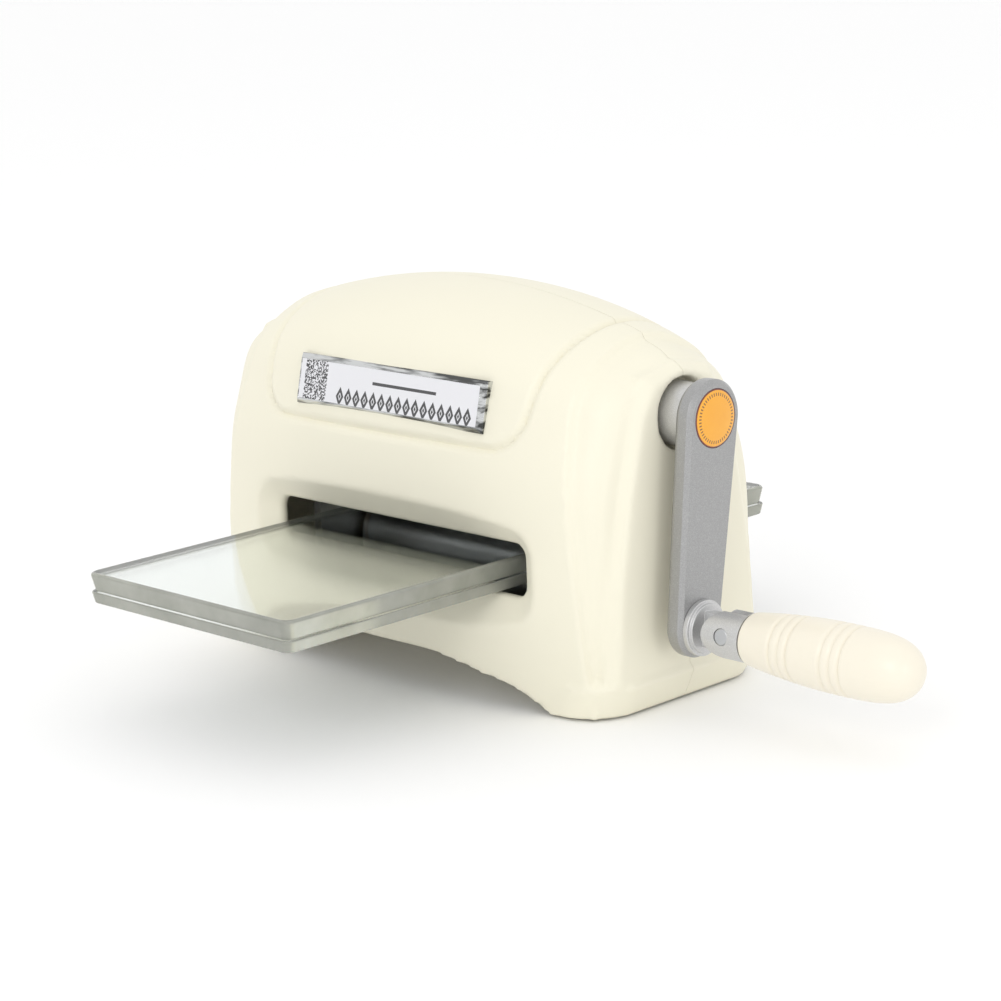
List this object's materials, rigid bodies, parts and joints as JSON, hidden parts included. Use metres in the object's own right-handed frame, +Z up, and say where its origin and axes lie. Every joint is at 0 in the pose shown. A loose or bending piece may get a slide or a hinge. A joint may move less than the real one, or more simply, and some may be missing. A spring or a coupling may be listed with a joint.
{
  "type": "die cutting machine",
  "caption": "Hand-cranked roller die cutting and embossing machine with a two-part moulded casing, a feed slot, clear pressing plates and a folding crank handle.",
  "frame": {"origin": "on the surface that the machine stands on, under the seam between the two shells, at the middle of the pressing plates' width", "axes": "+X towards the crank, -Y out of the front feed slot, +Z up"},
  "size_m": [0.2088, 0.1625, 0.095],
  "materials": {
    "casing_cream": "satin moulded",
    "grip_cream": "smooth moulded, soft gloss",
    "silver_paint": "fine metallic, satin",
    "steel": "turned and ground",
    "zinc_plate": "zinc plated",
    "bronze": "sintered",
    "gear_nylon": "natural nylon",
    "rubber": "matt",
    "mirror_label": "mirror rim with satin middle",
    "badge_amber": "domed resin",
    "clear_acrylic": "polished"
  },
  "bodies": {
    "casing": {"front_shell": "casing_cream", "rear_shell": "casing_cream", "shell_screws": "zinc_plate", "bottom_cover": "casing_cream", "rubber_feet": "rubber", "label_plate": "mirror_label", "right_side_plate": "zinc_plate", "left_side_plate": "zinc_plate", "tie_rods": "steel", "frame_screws": "zinc_plate", "roller_bushes": "bronze", "crank_bushes": "bronze"},
    "upper_roller": {"upper_roller": "steel", "upper_roller_clips": "steel", "upper_roller_gear": "steel", "drive_gear": "gear_nylon"},
    "lower_roller": {"lower_roller": "steel", "lower_roller_clips": "steel", "lower_roller_gear": "steel"},
    "crank": {"crank_pinion": "steel", "crank_shaft": "steel", "crank_clip": "steel", "crank_hub": "silver_paint", "crank_arm": "silver_paint", "arm_screw": "zinc_plate", "badge": "badge_amber", "handle_lug": "silver_paint"},
    "handle": {"handle_sleeve": "silver_paint", "fold_pin": "steel", "grip_spindle": "steel", "grip_cap": "gear_nylon"},
    "grip": {"grip": "grip_cream"},
    "upper_plate": {"upper_plate": "clear_acrylic"},
    "lower_plate": {"lower_plate": "clear_acrylic"}
  },
  "joints": [
    {"name": "crank_spin", "type": "hinge", "parent": "casing", "child": "crank", "pos_m": [0, 0, 0.0689], "axis": [1, 0, 0], "continuous": true},
    {"name": "upper_roller_spin", "type": "hinge", "parent": "casing", "child": "upper_roller", "pos_m": [0, 0, 0.0449], "axis": [1, 0, 0], "continuous": true},
    {"name": "lower_roller_spin", "type": "hinge", "parent": "casing", "child": "lower_roller", "pos_m": [0, 0, 0.0209], "axis": [1, 0, 0], "continuous": true},
    {"name": "handle_fold", "type": "hinge", "parent": "crank", "child": "handle", "pos_m": [0.0853, -0.00623, 0.0209], "axis": [0, -0.9917, 0.1288], "range_deg": [0, 90]},
    {"name": "grip_spin", "type": "hinge", "parent": "handle", "child": "grip", "pos_m": [0.0853, -0.00623, 0.0209], "axis": [1, 0, 0], "continuous": true},
    {"name": "upper_plate_feed", "type": "slide", "parent": "casing", "child": "upper_plate", "axis": [0, 1, 0], "range_m": [-0.06, 0.092]},
    {"name": "lower_plate_feed", "type": "slide", "parent": "casing", "child": "lower_plate", "axis": [0, 1, 0], "range_m": [-0.06, 0.092]}
  ],
  "couplings": [
    {"joint": "upper_roller_spin", "follows": "crank_spin", "ratio": -0.41176},
    {"joint": "lower_roller_spin", "follows": "crank_spin", "ratio": 0.52941},
    {"joint": "lower_plate_feed", "follows": "upper_plate_feed", "ratio": 1}
  ]
}
